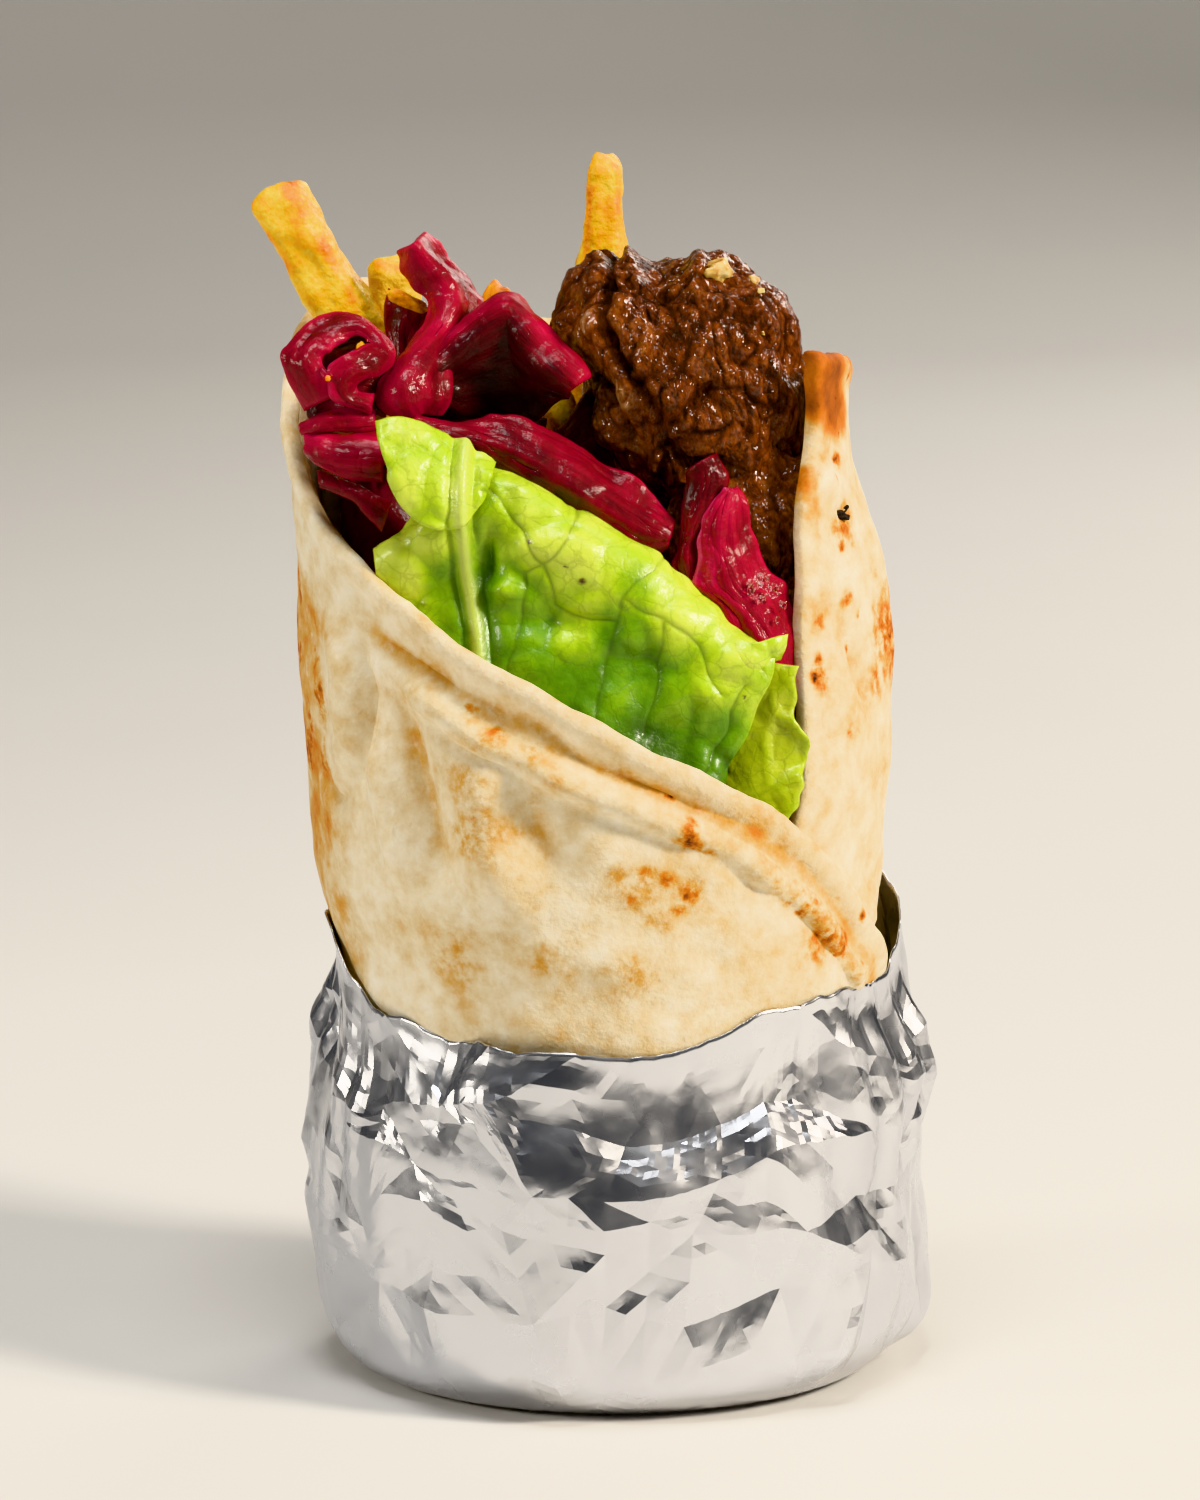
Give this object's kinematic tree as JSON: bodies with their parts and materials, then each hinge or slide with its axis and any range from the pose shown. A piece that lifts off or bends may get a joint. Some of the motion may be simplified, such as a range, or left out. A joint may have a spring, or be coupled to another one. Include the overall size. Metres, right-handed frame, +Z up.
{
  "type": "kebab sandwich",
  "caption": "Upright flatbread wrap with its foot in crumpled foil, filled with grilled minced meat, chips, lettuce and pickled red cabbage that stand out of the top.",
  "frame": {"origin": "middle of the flat foil base that the wrap stands on", "axes": "+Z up along the roll, -Y towards the front that the bread's flap crosses, +X to the right of someone facing that front"},
  "size_m": [0.0967, 0.0783, 0.1731],
  "materials": {
    "flatbread": "dry baked flatbread, cream with toasted spots",
    "foil": "crumpled kitchen foil, bright",
    "kofte": "grilled minced meat, glossy with fat",
    "fry": "fried potato, golden",
    "lettuce": "fresh green leaf, slightly waxy",
    "cabbage": "pickled red cabbage, wet"
  },
  "bodies": {
    "root": {"flatbread": "flatbread", "foil": "foil", "kofte_upper": "kofte", "kofte_lower": "kofte", "fry_left": "fry", "fry_back": "fry", "fry_centre": "fry", "fry_tip": "fry", "fry_deep": "fry", "lettuce_leaf": "lettuce", "lettuce_under": "lettuce", "cabbage_curl": "cabbage", "cabbage_tall": "cabbage", "cabbage_square": "cabbage", "cabbage_band": "cabbage", "cabbage_strip": "cabbage", "cabbage_slab": "cabbage", "cabbage_point": "cabbage", "cabbage_tongue": "cabbage", "cabbage_slice": "cabbage", "cabbage_heap": "cabbage"}
  },
  "joints": []
}
